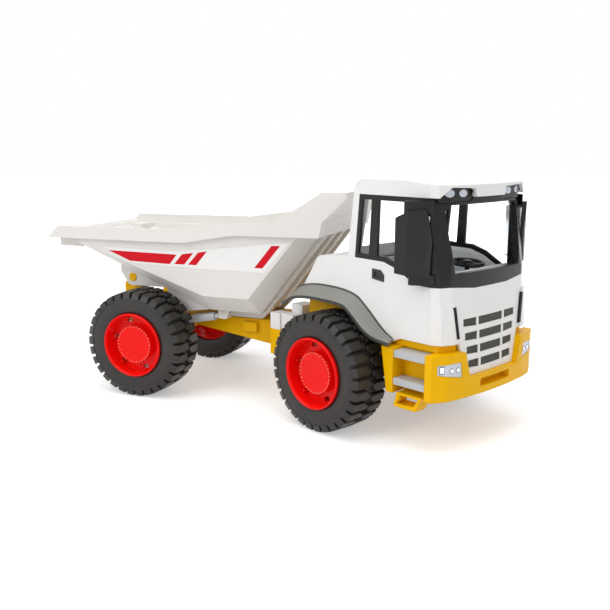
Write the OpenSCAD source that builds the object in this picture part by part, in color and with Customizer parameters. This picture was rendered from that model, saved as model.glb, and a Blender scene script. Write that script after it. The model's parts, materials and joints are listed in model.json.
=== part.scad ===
// Toy articulated dump truck, in millimetres. +X is forward along the rear unit, +Y to its left, +Z up.
// The origin is on the ground, straight below the pivot between the two units.

/* [Stance] */
// Distance from the rear axle to the pivot
rear_reach = 152; // [146:1:160]
// Distance from the pivot to the front axle
front_reach = 83.5; // [80:0.5:90]
// Angle that the front unit is turned to its right
turn = 24.7; // [0:0.1:28]

/* [Wheels] */
// Diameter over the lugs
wheel_d = 100; // [97:0.5:102]
// Width of a tyre
tyre_w = 37; // [33:0.5:38]
// Distance between the middles of the tyres on an axle
track = 146; // [144:0.5:154]
// Lugs in each of a tyre's two rows
lugs = 30; // [24:1:40]
// Height of a lug
lug_h = 3.6; // [2:0.1:5]
// Diameter of the rim's flange
rim_d = 60; // [56:0.5:64]
// How far the rim's face stands out of the tyre
rim_proud = 2.5; // [1:0.1:4]
// Diameter of the toothed hub cap
hub_d = 36.5; // [32:0.5:38]
// Teeth round the hub cap
hub_teeth = 46; // [24:1:60]
// Diameter of the axle rods
axle_d = 5; // [4:0.1:6]

/* [Dump bed] */
// Width over the bed's rim
bed_w = 146; // [140:1:150]
// Width over the side panels below the rim
panel_w = 135; // [130:1:138]
// Width of the bed's floor
floor_w = 103; // [98:1:106]
// Height of the flat part of the floor's underside
floor_z = 81; // [79:0.5:84]
// Thickness of the bed's walls
bed_wall = 2.6; // [1.6:0.1:3.2]
// Height of the hinge pins
hinge_z = 105.7; // [103:0.1:107]
// Distance of the hinge pins behind the rear axle
hinge_back = 26; // [22:0.5:30]
// Diameter of the hinge pins
hinge_d = 8.2; // [6:0.1:9]
// Stiffening ribs on the bed's front wall
front_ribs = 4; // [2:1:6]

/* [Rams] */
// Outer diameter of a ram's barrel
barrel_d = 8; // [7:0.1:9]
// Diameter of a ram's rod
rod_d = 4.6; // [3.6:0.1:5]
// Distance of each ram from the middle
ram_y = 39; // [37:0.5:40]

/* [Cab] */
// Width over the cab's sides
cab_w = 120; // [116:1:124]
// Height of the roof
roof_z = 208; // [204:0.5:214]
// Thickness of the cab's walls
cab_wall = 2.6; // [1.8:0.1:3.2]
// Height of the underside of the cab's sides
skirt_z = 86; // [84:0.5:88]
// Height of the window sill
sill_z = 145; // [142:0.5:148]
// Radius of the bowed front
bow_r = 440; // [300:10:600]
// Backward lean of the front, in degrees
lean = 2.6; // [1:0.1:4]

/* [Fenders] */
// How far a fender stands out of the cab's side
flare = 13; // [8:0.5:16]
// Drop of a fender from its root to its edge
flare_drop = 9; // [5:0.5:10]
// Thickness of a fender
fender_t = 2.2; // [1.6:0.1:3]

/* [Bumper] */
// Width over the bumper and the steps
bumper_w = 138; // [132:1:144]
// Height of the bumper's underside
bumper_z = 44; // [40:0.5:48]
// Height of the lamp pods
pod_z = 80; // [76:0.5:83]
// Thickness of the bumper's walls
bumper_wall = 3; // [2:0.1:4]

/* [Grille] */
// Rows of slots in the grille
grille_rows = 4; // [2:1:5]
// Height of a slot
slot_h = 6.6; // [4:0.1:8]
// Distance from one row to the next
slot_pitch = 11; // [9:0.1:12]

/* [Fits] */
// Clearance round pins and axles
fit = 0.06; // [0.04:0.01:0.1]
// Gap between pieces that move past each other
gap = 0.4; // [0.3:0.05:0.6]

/* [Hidden] */
$fn = 64;
eps = 0.01;
far = 600;

wheel_r = wheel_d / 2;
axle_r = axle_d / 2;
carcass_r = wheel_r - lug_h;
rim_r = rim_d / 2;
seat_r = rim_r - 1;
rim_wall = 1.5;
rim_face = tyre_w / 2 + rim_proud;
dish_y = rim_face - 12;
web_t = 3;
wheel_y = track / 2;
inner_face = wheel_y - tyre_w / 2;

white = [0.93, 0.92, 0.90];
yellow = [0.95, 0.74, 0.02];
red = [0.88, 0.07, 0.07];
black = [0.12, 0.12, 0.12];
grey = [0.45, 0.46, 0.44];
dark = [0.24, 0.24, 0.24];
light_grey = [0.68, 0.71, 0.73];
steel = [0.7, 0.72, 0.74];

// A unit vector square to the left of the way from a to b
function left_of(a, b) = let(d = b - a) [-d.y, d.x] / norm(d);

// The outline p with each edge moved inwards by t. Outlines run anticlockwise.
function inset(p, t) = [
    for (i = [0 : len(p) - 1])
        let(
            a = p[(i + len(p) - 1) % len(p)],
            b = p[i],
            c = p[(i + 1) % len(p)],
            n = left_of(a, b),
            m = left_of(b, c)
        )
        b + t * (n + m) / (1 + n * m)
];

// Points of an arc about c, from angle a0 to a1
function arc(c, r, a0, a1, n) = [
    for (i = [0 : n])
        let(a = a0 + (a1 - a0) * i / n)
        c + r * [cos(a), sin(a)]
];

// The line p with each bend cut off at a quarter of its sides
function eased(p) = concat(
    [p[0]],
    [for (i = [0 : len(p) - 2], k = [0.25, 0.75]) p[i] * (1 - k) + p[i + 1] * k],
    [p[len(p) - 1]]
);

// A side outline, x along the unit and z up, drawn across the unit to a width w
module slab(outline, w) {
    rotate([90, 0, 0])
        linear_extrude(height = w, center = true)
            polygon(outline);
}

// A side outline between two distances from the middle, on the right side
module side_slab(outline, y0, y1) {
    translate([0, -y0, 0])
        rotate([90, 0, 0])
            linear_extrude(height = y1 - y0)
                polygon(outline);
}

// A plan outline between two heights
module plan(outline, z0, z1) {
    translate([0, 0, z0])
        linear_extrude(height = z1 - z0)
            polygon(outline);
}

// A rod across the unit, between two distances from the middle on the right side
module cross_rod(r, y0, y1) {
    translate([0, -y0, 0])
        rotate([90, 0, 0])
            cylinder(r = r, h = y1 - y0);
}

module box(low, high) {
    translate(low)
        cube(high - low);
}

module both_sides() {
    children();
    mirror([0, 1, 0])
        children();
}

// The rear unit's own place: x is measured from the rear axle
module on_rear() {
    translate([-rear_reach, 0, 0])
        children();
}

// The front unit's own place: x is measured from the front axle
module on_front() {
    rotate([0, 0, -turn])
        translate([front_reach, 0, 0])
            children();
}

// Wheels

// Outline of a toothed ring, with its teeth between two radii
function tooth_ring(n, r0, r1, share, shift) = [
    for (i = [0 : n - 1], k = [0 : 3])
        let(
            a = 360 / n * (i + shift + (k < 2 ? 0 : share)),
            r = k == 0 || k == 3 ? r0 : r1
        )
        r * [cos(a), sin(a)]
];

lug_share = 0.76;
tread_half = tyre_w / 2 - 3.2;
shoulder_r = carcass_r - 3.8;
// Half the width of the groove between the two rows of lugs, and its depth under the lugs' feet
groove_half = 0.5;
groove_depth = 0.8;
// The bore is a polygon whose flats clear the rim's seat
bore_sides = 24;
bore_r = (seat_r + fit) / cos(180 / bore_sides);

function even_ring(n, r) = [for (i = [0 : n - 1]) r * [cos(360 / n * i), sin(360 / n * i)]];

// The feet of a row's lugs, in order round the tyre
function lug_feet(shift) = [
    for (i = [0 : lugs - 1], k = [0, lug_share])
        let(a = 360 / lugs * (i + shift + k))
        carcass_r * [cos(a), sin(a)]
];

// Half of a tyre, from its middle out: a row of lugs and a sloped shoulder
module tyre_half(shift) {
    difference() {
        union() {
            linear_extrude(height = tread_half / 2)
                polygon(even_ring(bore_sides, carcass_r - groove_depth));
            translate([0, 0, groove_half])
                linear_extrude(height = tread_half - groove_half)
                    polygon(tooth_ring(lugs, carcass_r, wheel_r, lug_share, shift));
            translate([0, 0, tread_half])
                linear_extrude(height = tyre_w / 2 - tread_half, scale = shoulder_r / carcass_r)
                    polygon(lug_feet(shift));
        }
        translate([0, 0, -1])
            linear_extrude(height = tyre_w)
                polygon(even_ring(bore_sides, bore_r));
    }
}

module tyre() {
    color(black)
        rotate([90, 0, 0]) {
            tyre_half(0);
            mirror([0, 0, 1])
                tyre_half(0.5);
        }
}

boss_r = 6.5;
clip_r = rim_r - 6.8;
clip_holes = 6;
clip_turn = 49;
clip_half = 3;
rim_back = -tyre_w / 2 + 4;
rim_section = [
    [axle_r + fit, rim_back],
    [boss_r, rim_back],
    [boss_r, dish_y - web_t],
    [seat_r - rim_wall, dish_y - web_t],
    [seat_r - rim_wall, rim_back],
    [seat_r, rim_back],
    [seat_r, tyre_w / 2 + fit],
    [rim_r, tyre_w / 2 + fit],
    [rim_r, rim_face - 0.8],
    [rim_r - 0.8, rim_face],
    [rim_r - 1.4, rim_face],
    [seat_r - rim_wall, rim_face - 1.6],
    [seat_r - rim_wall - 1, dish_y],
    [axle_r + fit, dish_y]
];

// A rim in its own place, with its face towards the right of the unit
module rim() {
    color(red)
        rotate([90, 0, 0])
            difference() {
                rotate_extrude()
                    polygon(rim_section);
                for (i = [0 : clip_holes - 1])
                    rotate([0, 0, 360 / clip_holes * i + clip_turn])
                        box(
                            [clip_r - 1.8, -clip_half, dish_y - web_t - 1],
                            [clip_r + 1.8, clip_half, dish_y + 1]
                        );
            }
}

hub_face = rim_face - 5;
tooth_h = 1.2;

module hub() {
    color(red)
        rotate([90, 0, 0]) {
            translate([0, 0, dish_y])
                cylinder(d = hub_d - 1.6, h = hub_face - dish_y);
            translate([0, 0, hub_face - tooth_h - 0.6])
                linear_extrude(height = tooth_h)
                    polygon(tooth_ring(hub_teeth, hub_d / 2 - 1, hub_d / 2, 0.5, 0));
        }
}

module at_wheel(front, left) {
    if (front)
        on_front() at_side(left) children();
    else
        on_rear() at_side(left) children();
}

module at_side(left) {
    mirror([0, left ? 1 : 0, 0])
        translate([0, -wheel_y, wheel_r])
            children();
}

// The rods end flush with the floors of the dishes, under the hub caps
module axle() {
    color(steel)
        translate([0, 0, wheel_r])
            rotate([90, 0, 0])
                cylinder(r = axle_r, h = track + 2 * dish_y, center = true);
}

module rear_axle() {
    on_rear() axle();
}

module front_axle() {
    on_front() axle();
}

// Rear unit

frame_w = 56;
frame_top = 70;
frame_wall = 3;
post_w = 84;
post_r = 6.2;
post_back = 12.5;
tongue_r = 13;
tongue_z = [47, 62];
pin_r = 4;
pivot_x = rear_reach;
bearing_r = 7;
skid_y = [20, 27];

beam = [
    [-hinge_back - 6, 60],
    [30, 60],
    [pivot_x - 40, tongue_z[0]],
    [pivot_x - 24, tongue_z[0]],
    [pivot_x - 24, tongue_z[1]],
    [pivot_x - 42, frame_top],
    [-hinge_back + 8, frame_top],
    [-hinge_back - 6, frame_top]
];
ram_foot = [-5, 60];
foot_r = 4.5;

module rear_frame() {
    color(yellow) on_rear() difference() {
        union() {
            slab(beam, frame_w);
            // Posts that carry the bed's hinge pins
            both_sides() {
                box([-hinge_back - 6, -post_w / 2, 60], [-hinge_back + 6, -post_w / 2 + 14, hinge_z]);
                box(
                    [-hinge_back - post_back, -post_w / 2, 60],
                    [-hinge_back, -post_w / 2 + 13, hinge_z - 6]
                );
                translate([-hinge_back, 0, hinge_z]) {
                    cross_rod(post_r, post_w / 2 - 14, post_w / 2);
                    cross_rod(hinge_d / 2, post_w / 2 - 4, ear_y[1] + 0.6);
                }
                // Bearings of the axle
                translate([0, 0, wheel_r])
                    cross_rod(bearing_r, 16, ram_y - 5);
                box([-bearing_r, -frame_w / 2, wheel_r], [bearing_r, -16, 64]);
                // Pins of the rams
                translate([ram_foot.x, 0, ram_foot.y])
                    cross_rod(2.4, frame_w / 2 - 1, ram_y + 3.2);
                // Blocks beside the tongue
                box([pivot_x - 66, -frame_w / 2 - 4, 58], [pivot_x - 52, -frame_w / 2 + 1, 67]);
            }
            box([-hinge_back - 6, -post_w / 2, 60], [-hinge_back + 6, post_w / 2, 66]);
            translate([pivot_x, 0, tongue_z[0]])
                cylinder(r = tongue_r, h = tongue_z[1] - tongue_z[0]);
            box([pivot_x - 26, -tongue_r, tongue_z[0]], [pivot_x, tongue_r, tongue_z[1]]);
        }
        translate([pivot_x, 0, 0])
            cylinder(r = pin_r + fit, h = far);
        translate([0, 0, wheel_r])
            cross_rod(axle_r + fit, -far / 2, far / 2);
        // The beam is a channel, open below
        slab(
            [
                [bearing_r + 4, 40],
                [pivot_x - 44, 40],
                [pivot_x - 44, frame_top - 10],
                [30, frame_top - frame_wall],
                [bearing_r + 4, frame_top - frame_wall]
            ],
            frame_w - 2 * frame_wall
        );
    }
}

// Bed outlines, from the tail round below to the head and back along the top
tail = [-78, 134.5];
head = [169.6, 155.3];
floor_rear = 62;
floor_front = 114;
rim_top = 157;
rise_top = 166;
wing_top = 194.5;
rim_h = 11.6;
panel_rise = 15.8;

lip_back = 104.3;
lip_lean = 12.5;
block_out = 4.5;
wing_front = 201.5;
open_top = 60;
// The floor turns up at the tail, and the tail is open above its edge
ramp_foot = tail + [bed_wall + 0.3, 2];
ramp_edge = [-98, 151.5];
ramp_slope = (ramp_edge.y - ramp_foot.y) / (ramp_edge.x - ramp_foot.x);
rim_floor = rim_top - rim_h - 1.2 + bed_wall + 0.5;
ramp_cross = ramp_foot.x + (rim_floor - ramp_foot.y) / ramp_slope;
// The wings draw in towards their front ends
wing_rear = 156;
wing_taper = 3;

// Outlines of the tub at the floor's edges and at the side panels, up to a height
function tub_low(top) = [
    tail,
    [floor_rear, floor_z],
    [floor_front, floor_z],
    head,
    head + (head - [floor_front, floor_z]) * (top - head.y) / (head.y - floor_z),
    [tail.x, top]
];
function tub_side(top) = [
    [tail.x + 5, tail.y + 7],
    [floor_rear, floor_z + panel_rise],
    [floor_front - 6, floor_z + panel_rise],
    head - [14, 0],
    head - [14, 0] + (head - [floor_front, floor_z]) * (top - head.y) / (head.y - floor_z),
    [tail.x + 5, top]
];
tub_top = rise_top - rim_h + 1;

// The rim and the wings beside the head, raised at the top by lift
function rim_band(lift) = [
    [-lip_back, rim_top - rim_h - 1.2],
    [45, rim_top - rim_h],
    [96, rise_top - rim_h],
    [177, tub_top],
    [180, rise_top + 3],
    [wing_front, wing_top - 5],
    [wing_front, wing_top + lift],
    [179.5, wing_top + lift],
    [157.5, wing_top - 14 + lift],
    [134.5, rise_top + lift],
    [97, rise_top - 0.8 + lift],
    [46, rim_top + 0.8 + lift],
    [-lip_back + lip_lean * (1 + lift / rim_h), rim_top - 1 + lift]
];

ear_y = [post_w / 2 + gap, post_w / 2 + gap + 4.2];
ear_r = 8.4;
skid_gap = 0.3;
ram_eye = [70, 74];
eye_r = 3.6;
eye_t = 5;
cheek_t = 1.6;

module bed_ear() {
    difference() {
        union() {
            translate([-hinge_back, 0, hinge_z])
                cross_rod(ear_r, ear_y[0], ear_y[1]);
            side_slab(
                [
                    [-hinge_back - 13.5, hinge_z + 5],
                    [-hinge_back - 0.72 * ear_r, hinge_z - 0.69 * ear_r],
                    [-hinge_back + 0.24 * ear_r, hinge_z - 0.97 * ear_r],
                    [11.8, 98],
                    [22, floor_z - 6],
                    [floor_rear - 6, floor_z - 1.5],
                    [floor_rear, floor_z + 1],
                    [-hinge_back - 13.5, hinge_z + 14.6]
                ],
                ear_y[0],
                ear_y[1]
            );
        }
        translate([-hinge_back, 0, hinge_z])
            cross_rod(hinge_d / 2 + fit, ear_y[0] - 1, ear_y[1] + 1);
    }
}

// The rim's outline across the bed, within the plan of the rim and its wings set in by t
module across_rim(outline, t) {
    half = bed_w / 2 - t;
    nose = wing_front + 20;
    nose_half = half - wing_taper * (nose - wing_rear) / (wing_front - wing_rear);
    intersection() {
        slab(outline, bed_w);
        plan(
            [
                [-far, -half],
                [wing_rear, -half],
                [nose, -nose_half],
                [nose, nose_half],
                [wing_rear, half],
                [-far, half]
            ],
            0,
            far
        );
    }
}

module dump_bed() {
    color(white) on_rear() {
        difference() {
            union() {
                across_rim(rim_band(0), 0);
                box(
                    [1.5 - lip_back, -floor_w / 2 - block_out, tail.y],
                    [tail.x + 1, floor_w / 2 + block_out, rim_top - rim_h - 0.2]
                );
                hull() {
                    slab(tub_low(tub_top + 0.4), floor_w);
                    slab(tub_side(tub_top + 0.4), panel_w);
                }
                // Skids under the flat floor rest on the frame
                both_sides()
                    side_slab(
                        [
                            [66, floor_z + 1],
                            [70, frame_top + skid_gap],
                            [104, frame_top + skid_gap],
                            [116, floor_z + 1]
                        ],
                        skid_y[0],
                        skid_y[1]
                    );
                // Cheeks that hold the eyes of the rams' rods
                both_sides()
                    for (y = [ram_y - eye_t / 2 - gap - cheek_t, ram_y + eye_t / 2 + gap])
                        side_slab(
                            [
                                [ram_eye.x - 6, floor_z + 2],
                                [ram_eye.x - 4, ram_eye.y - 3],
                                [ram_eye.x + 4, ram_eye.y - 3],
                                [ram_eye.x + 9, floor_z + 2]
                            ],
                            y,
                            y + cheek_t
                        );
                // Ribs down the front wall
                for (i = [0 : front_ribs - 1])
                    translate([0, (i - (front_ribs - 1) / 2) * floor_w / front_ribs, 0])
                        slab(
                            [
                                [floor_front - 2, floor_z],
                                [floor_front + 3, floor_z],
                                [head.x + 5, head.y + 2],
                                [head.x - 2, head.y + 2]
                            ],
                            5
                        );
            }
            hull() {
                slab(inset(tub_low(wing_top + open_top), bed_wall), floor_w - 2 * bed_wall);
                slab(inset(tub_side(wing_top + open_top), bed_wall), panel_w - 2 * bed_wall);
            }
            intersection() {
                across_rim(inset(rim_band(open_top), bed_wall), bed_wall);
                box([ramp_cross, -far, 0], [far, far, far]);
            }
            // The open tail above the ramp
            slab(
                [
                    ramp_foot,
                    ramp_foot + [10, 5],
                    [ramp_foot.x + 10, far],
                    [-far, far],
                    [-far, ramp_edge.y],
                    ramp_edge
                ],
                floor_w - 2 * bed_wall - 1
            );
            slab(
                [
                    [ramp_cross, rim_floor],
                    [ramp_cross + 10, rim_floor],
                    [ramp_cross + 10, far],
                    [-far, far],
                    [-far, ramp_edge.y],
                    ramp_edge
                ],
                bed_w - 2 * bed_wall
            );
        }
        both_sides() bed_ear();
    }
}

// Rams: the barrel turns on the frame, the rod slides out of it
ram_angle = atan2(ram_eye.y - ram_foot.y, ram_eye.x - ram_foot.x);
ram_length = norm(ram_eye - ram_foot);
barrel_length = ram_length - 10;

module at_ram() {
    on_rear()
        translate([ram_foot.x, -ram_y, ram_foot.y])
            rotate([0, -ram_angle, 0])
                children();
}

module ram_barrel() {
    color(light_grey)
        at_ram() difference() {
            union() {
                translate([foot_r - 1, 0, 0])
                    rotate([0, 90, 0])
                        cylinder(d = barrel_d, h = barrel_length - foot_r + 1);
                rotate([90, 0, 0])
                    cylinder(r = foot_r, h = eye_t, center = true);
            }
            rotate([90, 0, 0])
                cylinder(r = 2.4 + fit, h = 2 * eye_t, center = true);
            translate([foot_r + 4, 0, 0])
                rotate([0, 90, 0])
                    cylinder(d = rod_d + 2 * fit, h = ram_length);
        }
}

module ram_rod() {
    color(steel)
        at_ram() difference() {
            union() {
                translate([foot_r + 6, 0, 0])
                    rotate([0, 90, 0])
                        cylinder(d = rod_d, h = ram_length - foot_r - 6 - eye_r + 1);
                translate([ram_length, 0, 0])
                    rotate([90, 0, 0])
                        cylinder(r = eye_r, h = eye_t, center = true);
            }
            translate([ram_length, 0, 0])
                rotate([90, 0, 0])
                    cylinder(r = 1.6, h = 2 * eye_t, center = true);
        }
}

// Front unit: the frame, with x measured from the front axle
pivot_back = -front_reach;
yoke_t = 6;
yoke_w = 126;
yoke_x = [pivot_back - 0.5, pivot_back + 12.5];
yoke_low = tongue_z[0] - gap - yoke_t;
yoke_high = tongue_z[1] + gap + yoke_t;
front_beam_w = 44;
beam_wall = 3;
beam_front = 96;
platform_t = 3;
cover_z = [70, 85];
inner_cover_z = 93;
member_x = [pivot_back + 18, pivot_back + 28];
front_beam = [
    [member_x[0], yoke_low],
    [beam_front, yoke_low],
    [beam_front, skirt_z - platform_t],
    [60, skirt_z - platform_t],
    [52, yoke_high],
    [member_x[0], yoke_high]
];
beam_hollow = [
    [member_x[1] + beam_wall, 0],
    [beam_front - beam_wall, 0],
    [beam_front - beam_wall, skirt_z - platform_t - beam_wall],
    [61.5, skirt_z - platform_t - beam_wall],
    [53.5, yoke_high - beam_wall],
    [member_x[1] + beam_wall, yoke_high - beam_wall]
];
// The housing over the beam, between the front wheels
housing_w = 100;
housing_x = [-46, 53];
housing_z = [yoke_high - 6, 110];
housing_low = 74;
well_gap = 3;

module front_housing() {
    difference() {
        box(
            [housing_x[0], -housing_w / 2, housing_z[0]],
            [housing_x[1], housing_w / 2, housing_z[1]]
        );
        box(
            [housing_x[0] + beam_wall, -housing_w / 2 + beam_wall, 0],
            [housing_x[1] - beam_wall, housing_w / 2 - beam_wall, housing_z[1] - beam_wall]
        );
        // The sides end above the axle
        box([housing_x[0] - 1, -far, 0], [housing_x[1] + 1, -front_beam_w / 2, housing_low]);
        box([housing_x[0] - 1, front_beam_w / 2, 0], [housing_x[1] + 1, far, housing_low]);
        // Room for the tyres beside it
        both_sides()
            translate([0, 0, wheel_r])
                cross_rod(wheel_r + well_gap, inner_face - well_gap, far);
    }
}

module front_frame() {
    color(yellow) on_front() difference() {
        union() {
            // Yoke above and below the tongue
            for (z = [yoke_low, tongue_z[1] + gap]) {
                translate([pivot_back, 0, z])
                    cylinder(r = tongue_r, h = yoke_t);
                box([pivot_back, -tongue_r, z], [pivot_back + 34, tongue_r, z + yoke_t]);
            }
            // Cross member in front of the tongue, with a post at each end
            box([member_x[0], -yoke_w / 2 + 12, yoke_low], [member_x[1], yoke_w / 2 - 12, cover_z[0]]);
            both_sides()
                box(
                    [yoke_x[0], -yoke_w / 2, bumper_z + 2],
                    [member_x[1], -yoke_w / 2 + 13, cover_z[0]]
                );
            // Beam over the axle to the bumper, a channel that is open below
            difference() {
                slab(front_beam, front_beam_w);
                slab(beam_hollow, front_beam_w - 2 * beam_wall);
            }
            front_housing();
            both_sides()
                translate([0, 0, wheel_r])
                    cross_rod(bearing_r, 10, inner_face - 5);
        }
        translate([pivot_back, 0, 0])
            cylinder(r = pin_r, h = far);
        translate([0, 0, wheel_r])
            cross_rod(axle_r + fit, -far / 2, far / 2);
        // The tongue swings in this slot
        translate([pivot_back, 0, tongue_z[0] - gap])
            cylinder(r = tongue_r + 3, h = tongue_z[1] - tongue_z[0] + 2 * gap);
    }
}

module pivot_pin() {
    color(steel) on_front()
        translate([pivot_back, 0, tongue_z[0] - gap - yoke_t - 1.5]) {
            cylinder(r = pin_r, h = tongue_z[1] - tongue_z[0] + 2 * gap + 2 * yoke_t + 3);
            translate([0, 0, -1.5])
                cylinder(r = pin_r + 2.5, h = 3 - 1.5);
        }
}

// Stepped white covers on the ends of the cross member
module pivot_cover() {
    color(white) on_front() both_sides() {
        box([yoke_x[0], -yoke_w / 2, cover_z[0]], [yoke_x[0] + 13, -yoke_w / 2 + 13, cover_z[1]]);
        box([yoke_x[0] + 13, -yoke_w / 2 + 2, cover_z[0]], [pivot_back + 28, -yoke_w / 2 + 13, cover_z[1]]);
        box(
            [pivot_back + 14, -yoke_w / 2 + 13, cover_z[0]],
            [pivot_back + 28, -yoke_w / 2 + 30, inner_cover_z]
        );
    }
}

// Cab outlines
cab_rear = 8;
roof_rear = 15;
roof_under = 196;
roof_corner = 9;
roof_fall = 3.6;
roof_bend = 62;
hood_rear = -36;
hood_z = 143;
arch_z = 116;
arch_rear = -42;
arch_front = 14;
skirt_front = 112;
arch_low = 57;
front_mid = 110;
panel_low = 59;
belt_z = 127;
panel_back = 92;
// The front panel's upper edge is lower in the middle
belt_rise = 2.8;
belt_bend = [22, 48];

cab_side = concat(
    [
        [arch_front, arch_z],
        [arch_low, skirt_z - 4],
        [66, skirt_z],
        [skirt_front, skirt_z],
        [skirt_front, roof_z - roof_fall],
        [roof_bend, roof_z]
    ],
    arc([roof_rear + roof_corner, roof_z - roof_corner], roof_corner, 90, 172, 6),
    [[cab_rear, hood_z + 0.8]],
    arc([hood_rear + 16, hood_z - 9], 9, 95, 155, 4),
    [[arch_rear, arch_z]]
);

// Planes that cut the front's corners: the turn of each, its distance behind the front, its place across
corner_z = 110;
corner_cuts = [[24.5, 4.6, 47], [64, 12, 58.6]];
// The windscreen leans further back than the panel below it
screen_lean = 5.5;
pillar_lean = 8;
pillar_z = 135;
pillar_t = 5;
chamfer_lean = 1.3;

// All that lies behind a leaning plane at each front corner, set back by t along the way it faces
module behind_corner(cut, z, tilt, t) {
    intersection_for (side = [-1, 1])
        translate([front_mid - cut[1] - t * cos(cut[0]), side * (cut[2] - t * sin(cut[0])), z])
            rotate([0, -tilt, side * cut[0]])
                translate([-far, -far / 2, -far / 2])
                    cube(far);
}

// All that lies behind a bowed front that leans back from x at a height z
module behind_bow(x, z, tilt) {
    translate([x, 0, z])
        rotate([0, -tilt, 0])
            translate([-bow_r, 0, -far / 2])
                cylinder(r = bow_r, h = far, $fn = 200);
}

// Everything behind the bowed front and inside its corners, set back by t
module front_bow(t) {
    intersection() {
        behind_bow(front_mid - t, panel_low, lean);
        behind_corner(corner_cuts[0], corner_z, lean, t);
        behind_corner(corner_cuts[1], corner_z, chamfer_lean, t);
    }
}

// The same for the window frame
module screen_bow(t) {
    intersection() {
        front_bow(t);
        behind_bow(front_mid - t - (belt_z - panel_low) * tan(lean), belt_z, screen_lean);
        behind_corner(corner_cuts[0] + [0, (pillar_z - corner_z) * tan(lean), 0], pillar_z, pillar_lean, t);
    }
}

module cab_solid(t) {
    intersection() {
        slab(t > 0 ? inset(cab_side, t) : cab_side, cab_w - 2 * t);
        front_bow(t);
    }
}

// The part of the cab that the black window frame takes, from side to side
frame_side = [
    [16.5, sill_z],
    [47, sill_z - 0.6],
    [61, sill_z - 5],
    [78, belt_z + 3.4],
    [panel_back - 0.1, belt_z + belt_rise],
    [panel_back, belt_z],
    [far, belt_z],
    [far, roof_under],
    [20.8, roof_under]
];
rear_window = [
    [-cab_w / 2 + 14, 152],
    [cab_w / 2 - 14, 152],
    [cab_w / 2 - 16, 194],
    [-cab_w / 2 + 16, 194]
];

module cab_hollow() {
    intersection() {
        union() {
            slab(inset(cab_side, cab_wall), cab_w - 2 * cab_wall);
            // Open below, between the wheel arches and under the cab
            slab(
                [
                    [arch_rear + 5, 0],
                    [skirt_front, 0],
                    [skirt_front, skirt_z + 8],
                    [arch_front + 20, arch_z + 8],
                    [arch_rear + 5, arch_z + 8]
                ],
                cab_w - 2 * cab_wall
            );
        }
        front_bow(cab_wall);
    }
}

// All that lies in front of the cab's sides and below the front panel's upper edge
module panel_face() {
    front_cut([
        [-cab_w / 2 - 1, 0],
        [cab_w / 2 + 1, 0],
        [cab_w / 2 + 1, belt_z + belt_rise],
        [belt_bend[1], belt_z + belt_rise],
        [belt_bend[0], belt_z],
        [-belt_bend[0], belt_z],
        [-belt_bend[1], belt_z + belt_rise],
        [-cab_w / 2 - 1, belt_z + belt_rise]
    ]);
}

visor_back = 84;
visor_t = 2;

module cab_shell() {
    color(white) on_front() difference() {
        union() {
            difference() {
                cab_solid(0);
                cab_hollow();
                slab(frame_side, far);
            }
            // Underside of the roof over the windscreen
            intersection() {
                front_bow(1);
                box(
                    [visor_back, 1 - cab_w / 2, roof_under],
                    [far, cab_w / 2 - 1, roof_under + visor_t]
                );
            }
        }
        // The front panel is a piece of its own
        panel_face();
        // Rear window
        translate([cab_rear - 6, 0, 0])
            rotate([90, 0, 90])
                linear_extrude(height = 20)
                    polygon(rear_window);
        lamp_pod_space();
        door_handle_space();
        // The housing stands inside the cab's sides
        box(
            [housing_x[0], -housing_w / 2 - gap, 0],
            [housing_x[1], housing_w / 2 + gap, housing_z[1]]
        );
    }
}

// Front panel with the grille. Below the cab's sides it narrows between the lamp pods.
panel_half = [32.3, 38.6];
panel_top_z = 81;
panel_fit = 0.2;
raised_t = 1.8;
raised_in = 2;
raised_top = 118;
vent = [[-43, 90], [-47, 115]];
vent_half = 1.7;

function panel_half_at(z) =
    panel_half[0] + (panel_half[1] - panel_half[0]) * (z - panel_low) / (panel_top_z - panel_low);

// The space between the pods, seen from the front, wider than the panel by t
function pod_gap(t, low, top) = [
    [-panel_half_at(low) - t, low],
    [panel_half_at(low) + t, low],
    [panel_half_at(top) + t, top],
    [-panel_half_at(top) - t, top]
];

module front_panel() {
    color(white) on_front() difference() {
        union() {
            intersection() {
                front_bow(0);
                union() {
                    intersection() {
                        box([panel_back, -cab_w / 2, skirt_z], [far, cab_w / 2, far]);
                        panel_face();
                    }
                    front_cut(pod_gap(0, panel_low, skirt_z + 1));
                }
            }
            // Raised faces outside the vents
            intersection() {
                front_bow(-raised_t);
                both_sides()
                    front_cut([
                        [raised_in - cab_w / 2, skirt_z + 0.4],
                        [vent[0].x, skirt_z + 0.4],
                        [vent[1].x, raised_top],
                        [raised_in - cab_w / 2, raised_top]
                    ]);
            }
        }
        intersection() {
            front_bow(cab_wall);
            box([0, -cab_w / 2 + cab_wall, 0], [far, cab_w / 2 - cab_wall, far]);
        }
        grille_slots();
    }
}

slot_top = 104;
slot_mid = 33;
slot_side = 16;
slot_bar = 2.6;
slot_taper = 1.0;

// Slots seen from the front: a wide one between two narrow ones, narrower row by row
module grille_slots() {
    for (row = [0 : grille_rows - 1]) {
        z = slot_top - row * slot_pitch;
        half = slot_mid / 2 - row * slot_taper;
        inner = half + slot_bar;
        outer = inner + slot_side - row * slot_taper;
        front_cut([[-half, z - slot_h], [half, z - slot_h], [half, z], [-half, z]]);
        both_sides()
            front_cut([[-outer, z - slot_h + 0.8], [-inner, z - slot_h], [-inner, z], [-outer, z]]);
    }
    both_sides()
        front_cut([
            vent[0] - [vent_half, 0],
            vent[0] + [vent_half, 0],
            vent[1] + [vent_half, 0],
            vent[1] - [vent_half, 0]
        ]);
}

module front_cut(outline) {
    translate([panel_back, 0, 0])
        rotate([90, 0, 90])
            linear_extrude(height = far)
                polygon(outline);
}

backing_t = 1.5;
backing_fit = 0.1;

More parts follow.
